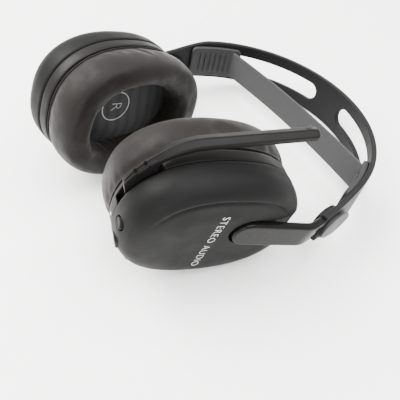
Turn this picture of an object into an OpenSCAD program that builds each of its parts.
// Wireless over-ear gaming headset with an open band, a suspended strap and a flip-up microphone.
// The headset lies on its back. X points from the ear cups to the crown, Y to the wearer's
// right and Z to the wearer's front, with the table at Z = 0.

/* [Head band] */
// Height of the inside of the crown above the middle of the ear cups
crown_h = 161; // [155:1:168]
// Inner radius of the band over the crown
crown_r = 88; // [84:1:92]
// Angle that the crown arc covers on each side
crown_angle = 42; // [40:1:44]
// Inner radius of the band at each shoulder
shoulder_r = 92; // [88:1:96]
// Angle that each shoulder arc covers
shoulder_angle = 34; // [32:1:35]
// Inner radius of the flat arc below each shoulder
side_r = 200; // [180:5:220]
// Angle that each side arc covers
side_angle = 7; // [6:1:8]
// Length of the straight end below each side arc
end_len = 9; // [7:1:12]
// Width of the band, front to back
band_w = 32; // [29:1:34]
// Width of each end of the band
end_w = 20; // [19:1:22]
// Thickness of the band
band_t = 3.6; // [3:0.2:4]
// Width of the two long slots
slot_w = 14.2; // [12:0.2:16]
// Half the length of the bridge between the slots
bridge_half = 13; // [10:1:16]

/* [Suspension strap] */
// Height of the strap above the middle of the ear cups
strap_h = 121; // [118:1:123]
// Width of the strap
strap_w = 21; // [18:1:22]
// Thickness of the strap
strap_t = 1.6; // [1.2:0.2:2]

/* [Arms] */
// Width of each arm
arm_w = 19; // [17:0.5:19]
// Thickness of each arm
arm_t = 5; // [4.6:0.2:5.2]
// Straight length of an arm from its bend to the tilt pin
arm_len = 37; // [34:1:40]
// How far the left end of the band leans back
left_rake = 5; // [4:1:12]
// How far the right end of the band leans back
right_rake = 12; // [4:1:12]
// Slope of an arm, outwards on its way up
arm_slope = 20; // [18:1:21]

/* [Ear cups] */
// Length of a cup, from its lower end to its upper end
cup_l = 106.5; // [104:0.5:108]
// Width of a cup, front to back
cup_w = 85; // [83:0.5:87]
// Squareness of a cup's outline, where 2 is an ellipse
squareness = 2.35; // [2.2:0.05:2.5]
// Depth of the outer cover
cover_h = 21.4; // [20.5:0.2:22]
// Depth of the housing rim between the cover and the cushion
rim_h = 8; // [7.8:0.1:8.4]
// Thickness of the cushion
cushion_h = 26; // [24:1:28]

/* [Microphone] */
// Length of the boom's straight part
boom_len = 62; // [56:1:64]
// Thickness of the boom
boom_t = 5.5; // [5:0.1:5.8]

/* [Rest pose] */
// Turn of the left cup about its arm's pin
left_swivel = 10; // [0:1:12]
// Turn of the right cup about its arm's pin
right_swivel = 3; // [0:1:12]
// Tilt of the left cup on its arm
left_tilt = -5; // [-8:1:0]
// Tilt of the right cup on its arm
right_tilt = -13; // [-13:1:0]

/* [Hidden] */
$fn = 72;
LEFT = -1;
RIGHT = 1;
gap = 0.3;            // clearance between neighbours that move
run = 0.05;           // radial clearance of a running fit
over = 1;             // how far a cutting shape runs past a face
rim_n = 48;           // points round a cup's outline

// Points of the band's inner profile, as [height, distance from the middle].
function polar(r, a) = [r * cos(a), r * sin(a)];
shoulder_at = crown_angle + shoulder_angle;
end_at = shoulder_at + side_angle;
flare = 90 - end_at;
crown_c = [crown_h - crown_r, 0];
shoulder_c = crown_c + polar(crown_r - shoulder_r, crown_angle);
side_c = shoulder_c + polar(shoulder_r - side_r, shoulder_at);
side_end = side_c + polar(side_r, end_at);
band_end = side_end + end_len * [-sin(end_at), cos(end_at)];

// The headset lies on the rear edges of both cups and of the crown.
lay_angle = 9.5;
lift = 43.03;
shift_x = -55.43;
shift_y = 0;
module lie() {
    translate([shift_x, shift_y, lift]) rotate([0, lay_angle, 0]) children();
}

// Left parts are drawn with X up, Y to the front and Z outwards, and right parts mirror them.
function is_left(side) = side == LEFT;
module at_side(side) {
    lie() mirror([0, is_left(side) ? 0 : 1, 0]) rotate([90, 0, 0]) children();
}
end_y = -3;           // how far each end of the band lies to the rear
rake_of = [left_rake, right_rake];
function pick(pair, side) = is_left(side) ? pair[0] : pair[1];
module at_band_end(side) {
    at_side(side) translate([band_end[0], end_y, band_end[1]]) rotate([0, flare, 0])
        rotate([0, 0, -pick(rake_of, side)]) children();
}

// Swivel pin, in the end block's own plan.
pin_z = 0.6;
pin_r = 2;
pin_len = 16;
collar = 8;
bend_r = 14;
bend = flare + arm_slope;
swivel_of = [left_swivel, right_swivel];
tilt_of = [left_tilt, right_tilt];
module at_arm(side) {
    at_band_end(side) translate([0, 0, pin_z]) rotate([pick(swivel_of, side), 0, 0]) children();
}
bend_end = [-collar - bend_r * sin(bend), 0, bend_r * cos(bend) - bend_r];
module at_arm_foot(side) {
    at_arm(side) translate(bend_end) rotate([0, -bend, 0]) children();
}

// Tilt pin, in a cup's plan and below an arm's foot.
arm_y = 7;
arm_tip = 8;
arm_floor = 19;       // height of an arm's inner face over a cup's seam
tilt_pin_r = 1.6;
tilt_pin_len = 19;
tilt_pin_at = [16, arm_y, 14.3];
knuckle_drop = arm_floor - tilt_pin_at[2] + arm_t / 2;
module at_tilt_pin(side) {
    at_arm_foot(side) translate([-arm_len, 0, -knuckle_drop]) children();
}
module at_cup(side) {
    at_tilt_pin(side) rotate([0, -pick(tilt_of, side), 0]) translate(-tilt_pin_at) children();
}

// A cup's outline, drawn in from its edge by inset.
function power(v, e) = sign(v) * pow(abs(v), e);
function oval(a, b, n) = [for (i = [0 : n - 1]) let (t = 360 * i / n)
    [a * power(cos(t), 2 / squareness), b * power(sin(t), 2 / squareness)]];
function outline(inset) = oval(cup_l / 2 - inset, cup_w / 2 - inset, rim_n);
function lift_ring(ring, z) = [for (p = ring) [p[0], p[1], z]];

// A solid through flat rings of equal point count, from the lowest to the highest.
module stack_rings(rings) {
    n = len(rings[0]);
    top = len(rings) - 1;
    sides = [for (k = [0 : top - 1], i = [0 : n - 1]) let (j = (i + 1) % n) each [
        [k * n + i, (k + 1) * n + j, k * n + j],
        [k * n + i, (k + 1) * n + i, (k + 1) * n + j]]];
    floor_face = [for (i = [0 : n - 1]) i];
    roof_face = [for (i = [n - 1 : -1 : 0]) top * n + i];
    polyhedron(points = [for (r = rings) each r], faces = concat(sides, [floor_face, roof_face]));
}
// A closed hoop through rings, where the last one joins the first.
module hoop_rings(rings) {
    n = len(rings[0]);
    m = len(rings);
    sides = [for (k = [0 : m - 1], i = [0 : n - 1]) let (j = (i + 1) % n, q = (k + 1) % m) each [
        [k * n + i, q * n + j, k * n + j],
        [k * n + i, q * n + i, q * n + j]]];
    polyhedron(points = [for (r = rings) each r], faces = sides);
}
// Levels are [inset, z] pairs.
module dome(levels) stack_rings([for (l = levels) lift_ring(outline(l[0]), l[1])]);
module plate(inset, z, t) translate([0, 0, z]) linear_extrude(t) polygon(outline(inset));

/* ---- Band ---- */
module mirror_y(s) mirror([0, s, 0]) children();
// A point on the band's profile where its face is turned by a, at d outside the inner face.
function profile_half(a, d) = a <= crown_angle ? crown_c + polar(crown_r + d, a)
    : a <= shoulder_at ? shoulder_c + polar(shoulder_r + d, a) : side_c + polar(side_r + d, a);
function profile(a, d) = let (p = profile_half(abs(a), d)) [p[0], a < 0 ? -p[1] : p[1]];
facet = 2;            // turn between two neighbouring points of a curve
function stops(from, to) = concat([from],
    [for (a = [facet * ceil(from / facet + 0.01) : facet : to - 0.01]) a], [to]);
function backwards(v) = [for (i = [len(v) - 1 : -1 : 0]) v[i]];
function along(from, to, d) = [for (a = stops(from, to)) profile(a, d)];
module strip(from, to, d0, d1, w) linear_extrude(w, center = true)
    polygon(concat(along(from, to, d1), backwards(along(from, to, d0))));
function end_point(y, d) = let (p = band_end + polar(d, end_at)) [p[0], y * p[1]];
function whole(d) = concat([end_point(-1, d)], along(-end_at, end_at, d), [end_point(1, d)]);
module slot_end_hole(a) {
    p = profile(a, 0);
    translate([p[0], p[1], 0]) rotate([0, 0, a]) rotate([0, 90, 0])
        translate([0, 0, -over]) cylinder(h = band_t + 2 * over, d = slot_w);
}
bridge_angle = (bridge_half + slot_w / 2) / crown_r * 180 / PI;
slot_angle = 15;      // how far a slot runs down the shoulder arc
block_len = 22;
block_in = 3.4;       // how far the end block stands inside the band's inner face
block_t = 8;
clip_at = 11.5;       // place of the swivel pin's clip along the pin
clip_w = 9;
clip_t = 1;
pocket_len = 5;
taper_len = 40;
lead_w = 1.8;         // link cable, a flat ribbon
lead_t = 2;
lead_groove = 2.4;
lead_end = 20;        // angle that the ribbon runs down the shoulder arc
module band_blank() linear_extrude(band_w, center = true)
    polygon(concat(whole(band_t), backwards(whole(0))));
// The ribbon's path, sunk in the front edge of the band.
module ribbon(w, z_low, z_high) {
    inner = (band_t - w) / 2;
    reach = crown_angle + lead_end;
    translate([0, 0, (z_low + z_high) / 2]) strip(-reach, reach, inner, inner + w, z_high - z_low);
}
module long_slots() for (s = [0, 1]) mirror_y(s) {
    strip(bridge_angle, crown_angle + slot_angle, -over, band_t + over, slot_w);
    slot_end_hole(bridge_angle);
    slot_end_hole(crown_angle + slot_angle);
}
// Cuts both edges of the band down to the width of its end block.
module end_tapers() for (e = [-1, 1]) {
    narrow = e * end_w / 2 + end_y;
    translate([0, 0, crown_r / 2]) linear_extrude(crown_r) polygon([
        [band_end[0] - over, narrow], [band_end[0], narrow],
        [band_end[0] + taper_len, e * band_w / 2], [band_end[0] + taper_len, e * band_w],
        [band_end[0] - over, e * band_w]]);
}
module end_block() {
    translate([0, -end_w / 2, -block_in]) cube([block_len - end_w / 2, end_w, block_t]);
    translate([block_len - end_w / 2, 0, -block_in]) cylinder(h = block_t, d = end_w);
}
// The pin's bore, the pocket for its clip, and the square cut across the band's end.
module end_cuts() {
    translate([-over, 0, pin_z]) rotate([0, 90, 0]) cylinder(h = pin_len + over + gap, r = pin_r + run);
    translate([clip_at - pocket_len / 2, -clip_w / 2 - gap, pin_z - clip_w / 2 + 1.2])
        cube([pocket_len, clip_w + 2 * gap, block_t]);
    translate([-end_w, -end_w, -block_t]) cube([end_w, 2 * end_w, 2 * block_t]);
}
module headband_frame() color("#5a5a5a") difference() {
    union() {
        lie() difference() {
            band_blank();
            long_slots();
            ribbon(lead_w + 0.4, band_w / 2 - lead_groove, band_w / 2 + over);
            for (s = [0, 1]) mirror_y(s) rotate([90, 0, 0]) end_tapers();
        }
        for (side = [LEFT, RIGHT]) at_band_end(side) end_block();
    }
    for (side = [LEFT, RIGHT]) at_band_end(side) end_cuts();
}
module link_cable() color("#222222") lie()
    ribbon(lead_w, band_w / 2 - lead_groove, band_w / 2 - lead_groove + lead_t);

// The lens-shaped outer cover of each end block, which hides the pin's clip.
lens_len = 32;
lens_t = 1.6;
module end_cap(side) color("#8a8a8a") at_band_end(side) {
    half_w = end_w / 2 - 0.4;
    r = (pow(lens_len / 2, 2) + half_w * half_w) / (2 * half_w);
    translate([lens_len / 2 - 2, 0, block_t - block_in]) linear_extrude(lens_t) intersection() {
        translate([0, half_w - r]) circle(r, $fn = 180);
        translate([0, r - half_w]) circle(r, $fn = 180);
        translate([2 - lens_len / 2, -end_w]) square([lens_len, 2 * end_w]);
    }
}

/* ---- Suspension strap ---- */
anchor_from = 54;     // angle on the shoulder arc where an anchor's upper end lies
anchor_side = 2;      // angle that an anchor runs down the side arc
anchor_w = 25;
anchor_t = 4;
rib_w = 1.8;
rib_depth = 1.2;
rib_h = 17;
strap_r = 600;
strap_half = 74.5;
strap_sweep = asin(strap_half / strap_r);
module suspension_strap() color("#6e6e6e") lie()
    translate([strap_h - strap_r, 0, 0])
        rotate_extrude(angle = 2 * strap_sweep, start = -strap_sweep, $fn = 1440)
        translate([strap_r, -strap_w / 2]) square([strap_t, strap_w]);
module strap_anchor(side) color("#4c4c4c") lie() mirror_y(is_left(side) ? 1 : 0) difference() {
    strip(anchor_from, shoulder_at + anchor_side, -anchor_t, 0, anchor_w);
    for (a = [anchor_from + 9 : 3 : shoulder_at]) let (p = profile(a, -anchor_t))
        translate([p[0], p[1], -rib_h / 2]) rotate([0, 0, a])
            translate([-over, -rib_w / 2, 0]) cube([over + rib_depth, rib_w, rib_h]);
    // The slit that holds the end of the strap.
    translate([strap_h - strap_r, 0, 0]) rotate_extrude(angle = strap_sweep, start = 0, $fn = 1440)
        translate([strap_r, -strap_w / 2]) square([strap_t, strap_w]);
}

/* ---- Arms ---- */
module along_y(h, r) rotate([90, 0, 0]) translate([0, 0, -h / 2]) cylinder(h = h, r = r);
collar_t = 6.4;
knuckle_r = 4;
knuckle_w = 10;
// An arm's side view, as [along the pin, outwards]: collar, bend and the straight foot.
bend_steps = 9;
foot_end = arm_len + arm_tip;
function bend_points(r) =
    [for (i = [0 : bend_steps]) [-collar, -bend_r] + polar(r, 90 + bend * i / bend_steps)];
function foot_point(r) = [-collar, -bend_r] + polar(r, 90 + bend) + foot_end * polar(1, 180 + bend);
arm_side = concat([[-gap, -collar_t / 2], [-gap, collar_t / 2], [-collar, collar_t / 2]],
    bend_points(bend_r + arm_t / 2), [foot_point(bend_r + arm_t / 2), foot_point(bend_r - arm_t / 2)],
    backwards(bend_points(bend_r - arm_t / 2)), [[-collar, -collar_t / 2]]);
module arm(side) color("#1c1c1c") difference() {
    union() {
        at_arm(side) rotate([90, 0, 0]) linear_extrude(arm_w, center = true) polygon(arm_side);
        at_arm_foot(side) translate([-arm_len, 0, -knuckle_drop]) {
            along_y(knuckle_w, knuckle_r);
            translate([-knuckle_r, -knuckle_w / 2, 0]) cube([2 * knuckle_r, knuckle_w, knuckle_drop]);
        }
    }
    at_arm(side) translate([-collar, 0, 0]) rotate([0, 90, 0]) cylinder(h = collar + over, r = pin_r);
    at_arm_foot(side) {
        translate([-arm_len, 0, -knuckle_drop]) along_y(knuckle_w + 2 * over, tilt_pin_r);
        // Rounds off the end.
        translate([arm_w / 2 - foot_end, 0, -arm_t]) difference() {
            translate([-arm_w, -arm_w, 0]) cube([arm_w, 2 * arm_w, 2 * arm_t]);
            translate([0, 0, -over]) cylinder(h = 2 * arm_t + 2 * over, r = arm_w / 2 + 0.2);
        }
    }
}
module swivel_pin(side) color("#c0c0c0") at_arm(side) difference() {
    translate([-collar, 0, 0]) rotate([0, 90, 0]) cylinder(h = collar + pin_len, r = pin_r);
    translate([clip_at, 0, 0]) rotate([0, 90, 0]) difference() {
        cylinder(h = clip_t, r = 2 * pin_r);
        translate([0, 0, -over]) cylinder(h = clip_t + 2 * over, r = pin_r - 0.5);
    }
}
module swivel_clip(side) color("#9a9a9a") at_arm(side) translate([clip_at, 0, 0]) rotate([0, 90, 0])
    difference() {
        cylinder(h = clip_t, r = clip_w / 2 - 1.4);
        translate([0, 0, -over]) cylinder(h = clip_t + 2 * over, r = pin_r - 0.5);
        translate([-clip_w, -0.9, -over]) cube([clip_w, 1.8, clip_t + 2 * over]);
    }
module tilt_pin(side) color("#c0c0c0") at_tilt_pin(side) along_y(tilt_pin_len, tilt_pin_r);

/* ---- Cup shells ---- */
wall = 2.2;
cover_levels = [[0.7, 0], [0, 0.12], [0.3, 0.4], [2.4, 0.65], [5.6, 0.84], [9.6, 0.96], [14, 1]];
function cover_outer() = [for (l = cover_levels) [l[0], l[1] * cover_h]];
function cover_inner() = [for (l = cover_levels)
    [l[0] + wall, l[1] == 0 ? -over : l[1] * (cover_h - 2)]];
recess_w = arm_w + 1.8;
recess_floor = 16.6;
recess_slope = 6.5;
lug_w = 4;
lug_r = 3.6;
post_angles = [50, 110, 215, 305];
post_inset = 13;
post_r = 3;
screw_r = 1.1;
baffle_z = -5.3;
baffle_t = 1.7;
function on_outline(inset, t) = [
    (cup_l / 2 - inset) * power(cos(t), 2 / squareness),
    (cup_w / 2 - inset) * power(sin(t), 2 / squareness)];
// Direction that the outline's outward normal points in, at angle t.
function facing(t) = let (p = on_outline(0, t), e = squareness - 1) atan2(
    power(p[1] * 2 / cup_w, e) / cup_w, power(p[0] * 2 / cup_l, e) / cup_l);
// Puts children on the rim, with X pointing out through the wall.
module at_rim(t, z) {
    p = on_outline(0, t);
    translate([p[0], p[1], z]) rotate([0, 0, facing(t)]) children();
}
module along_x(x0, x1, r) translate([x0, 0, 0]) rotate([0, 90, 0]) cylinder(h = x1 - x0, r = r);
module arm_recess(grow) {
    start = tilt_pin_at[0] - arm_tip + arm_w / 2 - 1.2;
    finish = cup_l / 2 + 6;
    low = recess_floor - grow;
    top = 2 * cover_h;
    translate([start, arm_y, low]) cylinder(h = top, r = recess_w / 2 + grow);
    translate([0, arm_y + recess_w / 2 + grow, 0]) rotate([90, 0, 0]) linear_extrude(recess_w + 2 * grow)
        polygon([[start, low], [finish, low - (finish - start) * tan(recess_slope)],
            [finish, top], [start, top]]);
}
mic_at = [-40, 18];
module cover(side) color("#3c3c3c") at_cup(side) difference() {
    union() {
        difference() {
            dome(cover_outer());
            dome(cover_inner());
        }
        intersection() {
            dome(cover_outer());
            union() {
                arm_recess(1.8);
                for (s = [-1, 1])
                    translate([tilt_pin_at[0], arm_y + s * (knuckle_w / 2 + 0.6 + lug_w / 2), 0]) {
                    translate([0, 0, tilt_pin_at[2]]) along_y(lug_w, lug_r);
                    translate([-lug_r, -lug_w / 2, tilt_pin_at[2]]) cube([2 * lug_r, lug_w, 4]);
                }
            }
        }
        for (t = post_angles) translate(concat(on_outline(post_inset, t), [baffle_z]))
            cylinder(h = cover_h - 2 - baffle_z, r = post_r);
        if (is_left(side)) {
            translate([mic_at[0], mic_at[1], 0]) cylinder(h = cover_h * 0.7, r = 5);
            for (p = board_posts) translate([p[0], p[1], board_z + board_t])
                cylinder(h = cover_h - 2 - board_z, r = 2);
        }
    }
    arm_recess(0);
    translate([tilt_pin_at[0] - 6.5, arm_y - knuckle_w / 2 - 0.6, 5]) cube([13, knuckle_w + 1.2, cover_h]);
    translate([tilt_pin_at[0], arm_y, tilt_pin_at[2]]) along_y(tilt_pin_len + 2, tilt_pin_r + run);
    for (t = post_angles) translate(concat(on_outline(post_inset, t), [baffle_z - over]))
        cylinder(h = 10, r = screw_r);
    if (is_left(side)) {
        translate([mic_at[0], mic_at[1], -over]) cylinder(h = mic_axle_top + over, r = mic_axle_r);
        for (p = board_posts) translate([p[0], p[1], board_z]) cylinder(h = 5, r = 1);
        at_rim(mode_t, button_z) along_x(-8, 4, mode_r + gap);
        at_rim(power_t, button_z) stadium(-8, 4, power_l + 2 * gap, power_w + 2 * gap);
        at_rim(wheel_t, button_z) translate([-wheel_in, 0, -wheel_h / 2 - gap])
            cylinder(h = wheel_h + 2 * gap, r = wheel_r + 0.6);
        at_rim(usb_t, usb_z) stadium(-6, 4, usb_w + 0.4, usb_h + 0.4);
    }
}
ledge_t = 1;
module housing(side) color("#262626") at_cup(side) difference() {
    union() {
        difference() {
            plate(0.5, -rim_h, rim_h - gap);
            plate(2.9, -rim_h - over, rim_h + 2 * over);
        }
        difference() {
            plate(2, -rim_h, ledge_t);
            plate(6, -rim_h - over, ledge_t + 2 * over);
        }
    }
    if (is_left(side)) {
        // Room for the hub, and around it for the swing of the boom's root.
        translate([mic_at[0], mic_at[1], hub_z - gap]) {
            cylinder(h = rim_h, r = hub_r + 0.4);
            rotate_extrude(angle = 214, start = 76) square([sweep_r + 0.4, rim_h]);
        }
        at_rim(light_t, light_z) along_x(-8, 2, light_r);
    }
}
driver_hole_r = 18.3;
module baffle(side) color("#2a2a2a") at_cup(side) difference() {
    plate(3.2, -rim_h + ledge_t, baffle_t);
    translate([0, 0, -rim_h]) cylinder(h = rim_h, r = driver_hole_r);
    for (t = post_angles) translate(concat(on_outline(post_inset, t), [-rim_h]))
        cylinder(h = rim_h, r = screw_r + 0.3);
}
module baffle_screws(side) color("#8c8c8c") at_cup(side)
    for (t = post_angles) translate(concat(on_outline(post_inset, t), [0])) {
        translate([0, 0, baffle_z - baffle_t - 1.2]) cylinder(h = 1.2, r = 2.4);
        translate([0, 0, baffle_z - baffle_t]) cylinder(h = 9, r = screw_r);
    }
ring_in = 4;
ring_out = 9;
ring_t = 2.3;
module cushion_ring(side) color("#202020") at_cup(side) difference() {
    plate(ring_in, -rim_h - ring_t, ring_t);
    plate(ring_out, -rim_h - ring_t - over, ring_t + 2 * over);
}
module speaker_cloth(side) color("#2c2c2c") at_cup(side) plate(ring_out, -rim_h - ring_t, 0.6);

/* ---- Ear cushion, from its outer lip round to the ear opening ---- */
function cushion_z(part) = -rim_h - 0.4 - part * (cushion_h - 0.4);
cushion_section = [[9, 1], [4, 0.94], [0.8, 0.77], [-0.4, 0.5], [0.4, 0.18], [1.2, 0], [3.7, 0],
    [3.7, 0.088], [16.6, 0.088], [18.6, 0.22], [19, 0.54], [17.5, 0.8], [14, 0.96]];
module cushion(side) color("#33302e") at_cup(side)
    hoop_rings([for (p = cushion_section) lift_ring(outline(p[0]), cushion_z(p[1]))]);

/* ---- Drivers ---- */
module tube(z, h, r_out, r_in) translate([0, 0, z]) difference() {
    cylinder(h = h, r = r_out);
    translate([0, 0, -over]) cylinder(h = h + 2 * over, r = r_in);
}
magnet_r = 12;
magnet_h = 5;
basket_h = 8;
module driver_basket(side) color("#4a4a4a") at_cup(side) {
    tube(baffle_z, 1.4, 22, 17.8);
    tube(baffle_z + 1.4, basket_h - 2.8, 19, 17.8);
    tube(baffle_z + basket_h - 1.4, 1.4, 19, 4);
}
module driver_magnet(side) color("#b0b0b0") at_cup(side)
    translate([0, 0, baffle_z + basket_h]) cylinder(h = magnet_h, r = magnet_r);
module diaphragm(side) color("#77736a") at_cup(side) {
    translate([0, 0, baffle_z + 0.5]) cylinder(h = 0.4, r = 17.8);
    translate([0, 0, baffle_z + 0.9]) cylinder(h = 1.2, r = 7);
}

/* ---- Microphone ---- */
hub_z = -4.9;
hub_t = 4.1;
hub_r = 11.5;
sweep_r = 17;         // the housing is open around the hub this far out, and 0.4 more
mic_axle_r = 2.5;
mic_axle_top = 6;
boom_c = [-9, 6];
boom_in = 42;
boom_top = -0.4;      // face of the boom on the cover's side
boom_w = 8.8;
arc_from = 100;
arc_to = 137;
tail_from = 132;
tail_to = 163;
capsule_r = 2.2;
capsule_h = 4;
module at_boom_tip() translate([boom_c[0], boom_c[1], 0]) rotate([0, 0, arc_from])
    translate([boom_in + boom_t / 2, -boom_len, 0]) children();
function boom_arc(r, from, to) = [for (a = stops(from, to)) boom_c + polar(r, a)];
module mic_boom() color("#3a3634") at_cup(LEFT) difference() {
    tip = boom_len * polar(1, arc_from - 90);
    union() {
        translate([0, 0, boom_top - boom_w]) linear_extrude(boom_w)
            polygon(concat(boom_arc(boom_in, arc_from, arc_to),
                backwards(boom_arc(boom_in + boom_t, arc_from, arc_to)),
                [boom_c + polar(boom_in + boom_t, arc_from) + tip, boom_c + polar(boom_in, arc_from) + tip]));
        // The root reaches from the boom to the hub, a little inside the boom's own faces.
        translate([0, 0, hub_z]) linear_extrude(hub_t)
            polygon(concat(boom_arc(boom_in + boom_t - 0.8, tail_from, tail_to),
                [for (a = stops(190, 440)) mic_at + polar(hub_r, a)], [boom_c + polar(boom_in + 0.8, tail_from)]));
    }
    translate([mic_at[0], mic_at[1], hub_z - over]) cylinder(h = hub_t + 2 * over, r = mic_axle_r + run);
    at_boom_tip() translate([0, 5, boom_top - boom_w - over]) cylinder(h = capsule_h + over, r = capsule_r);
}
module mic_capsule() color("#8c8c8c") at_cup(LEFT) at_boom_tip()
    translate([0, 5, boom_top - boom_w + 0.6]) cylinder(h = capsule_h - 0.6, r = capsule_r);
module mic_axle() color("#b0b0b0") at_cup(LEFT) translate([mic_at[0], mic_at[1], hub_z])
    cylinder(h = mic_axle_top - hub_z, r = mic_axle_r);
module mic_washer() color("#d0c8b0") at_cup(LEFT) translate([mic_at[0], mic_at[1], 0])
    tube(hub_z + hub_t + run, -hub_z - hub_t - run, 5, mic_axle_r);

/* ---- Controls on the lower rear rim of the left cup ---- */
button_z = 9;
proud = 0.7;
mode_t = 178;
mode_r = 3.4;
power_t = 196;
power_l = 11;
power_w = 6.4;
wheel_t = 227;
wheel_r = 7;
wheel_h = 4.4;
wheel_in = 5.2;
encoder_r = 1.5;
// A bar with round ends along Y, from x0 to x1.
module stadium(x0, x1, l, w) {
    for (s = [-1, 1]) translate([0, s * (l - w) / 2, 0]) along_x(x0, x1, w / 2);
    translate([x0, -(l - w) / 2, -w / 2]) cube([x1 - x0, l - w, w]);
}
module mode_button() color("#2e2e2e") at_cup(LEFT) at_rim(mode_t, button_z) {
    along_x(-6.2, proud, mode_r);
    along_x(-7, -6, mode_r + 1.2);
}
module power_button() color("#2e2e2e") at_cup(LEFT) at_rim(power_t, button_z) {
    stadium(-6.2, proud, power_l, power_w);
    stadium(-7, -6, power_l + 2, power_w + 2);
}
switch_in = 11;
module tact_switches() color("#8a8a8a") at_cup(LEFT) {
    for (t = [mode_t, power_t]) at_rim(t, button_z) {
        translate([-switch_in, -2.5, -2.5]) cube([2.8, 5, 5]);
        along_x(-switch_in + 2.7, -switch_in + 3.3, 1.2);
    }
    intersection() {
        difference() {
            plate(switch_in, button_z - 3, 6);
            plate(switch_in + 0.6, button_z - 4, 8);
        }
        rotate([0, 0, mode_t - 8]) translate([0, 0, button_z - 5])
            rotate_extrude(angle = 34) square([cup_l, 10]);
    }
}
module volume_wheel() color("#343434") at_cup(LEFT) at_rim(wheel_t, button_z)
    translate([-wheel_in, 0, -wheel_h / 2]) difference() {
        cylinder(h = wheel_h, r = wheel_r);
        translate([0, 0, -over]) cylinder(h = wheel_h + 2 * over, r = encoder_r + run);
        for (a = [0 : 15 : 345]) rotate([0, 0, a]) translate([wheel_r + 0.3, 0, -over])
            cylinder(h = wheel_h + 2 * over, r = 0.6, $fn = 16);
    }
module volume_encoder() color("#6a7a8a") at_cup(LEFT) at_rim(wheel_t, button_z)
    translate([-wheel_in, 0, -wheel_h / 2 - gap]) {
        cylinder(h = wheel_h + gap, r = encoder_r);
        translate([-1.2, 0, -2.6]) cylinder(h = 2.6, r = 3.4);
    }

/* ---- Electronics ---- */
board_z = 12.8;
board_t = 1.4;
board_posts = [[-26, -11], [-3, -11], [-3, -25]];
usb_t = 262;
usb_w = 9;
usb_h = 3.2;
usb_z = board_z - usb_h / 2;
usb_len = 7.4;
module main_board() color("#1f5a35") at_cup(LEFT) difference() {
    translate([-29, -28, board_z]) cube([30, 20, board_t]);
    for (p = board_posts) translate([p[0], p[1], 0]) cylinder(h = cover_h, r = 1.2);
}
module board_screws() color("#8c8c8c") at_cup(LEFT) for (p = board_posts) translate([p[0], p[1], 0]) {
    translate([0, 0, board_z - 1]) cylinder(h = 1, r = 2);
    translate([0, 0, board_z]) cylinder(h = 4.6, r = 1);
}
module usb_socket() color("#a8a8a8") at_cup(LEFT) {
    at_rim(usb_t, usb_z) difference() {
        stadium(-usb_len, -0.4, usb_w, usb_h);
        stadium(-usb_len + 1, over, usb_w - 0.8, usb_h - 0.8);
    }
}
light_t = 187;
light_z = -3.5;
light_r = 1;
module status_light() color("#e8f4ff") at_cup(LEFT) at_rim(light_t, light_z) along_x(-6, -0.3, light_r);
battery_at = [-29, -26, 8.6];
battery_size = [31, 20, 5.4];
tray_wall = 1;
module battery() color("#c8ccd0") at_cup(RIGHT) translate(battery_at) cube(battery_size);
module battery_tray() color("#303030") at_cup(RIGHT) {
    top = battery_at[2] + battery_size[2];
    translate([battery_at[0] - tray_wall, battery_at[1] - tray_wall, battery_at[2]]) difference() {
        cube([battery_size[0] + 2 * tray_wall, battery_size[1] + 2 * tray_wall, battery_size[2] + tray_wall]);
        translate([tray_wall, tray_wall, -over])
            cube([battery_size[0], battery_size[1], battery_size[2] + over]);
    }
    for (p = [[-24, -20], [-24, -10], [-2, -15]]) translate([p[0], p[1], top])
        cylinder(h = cover_h - 2 - top, r = 2);
}

headband_frame();
end_cap(LEFT);  // end_cap_left
end_cap(RIGHT);  // end_cap_right
link_cable();
suspension_strap();
strap_anchor(LEFT);  // strap_anchor_left
strap_anchor(RIGHT);  // strap_anchor_right
arm(LEFT);  // arm_left
arm(RIGHT);  // arm_right
swivel_pin(LEFT);  // swivel_pin_left
swivel_pin(RIGHT);  // swivel_pin_right
swivel_clip(LEFT);  // swivel_clip_left
swivel_clip(RIGHT);  // swivel_clip_right
tilt_pin(LEFT);  // tilt_pin_left
tilt_pin(RIGHT);  // tilt_pin_right
cover(LEFT);  // cover_left
cover(RIGHT);  // cover_right
housing(LEFT);  // housing_left
housing(RIGHT);  // housing_right
baffle(LEFT);  // baffle_left
baffle(RIGHT);  // baffle_right
cushion_ring(LEFT);  // cushion_ring_left
cushion_ring(RIGHT);  // cushion_ring_right
cushion(LEFT);  // cushion_left
cushion(RIGHT);  // cushion_right
speaker_cloth(LEFT);  // speaker_cloth_left
speaker_cloth(RIGHT);  // speaker_cloth_right
driver_basket(LEFT);  // driver_basket_left
driver_basket(RIGHT);  // driver_basket_right
driver_magnet(LEFT);  // driver_magnet_left
driver_magnet(RIGHT);  // driver_magnet_right
diaphragm(LEFT);  // diaphragm_left
diaphragm(RIGHT);  // diaphragm_right
baffle_screws(LEFT);  // baffle_screws_left
baffle_screws(RIGHT);  // baffle_screws_right
mic_boom();
mic_axle();
mic_washer();
mic_capsule();
mode_button();
power_button();
tact_switches();
volume_wheel();
volume_encoder();
main_board();
board_screws();
usb_socket();
status_light();
battery();
battery_tray();
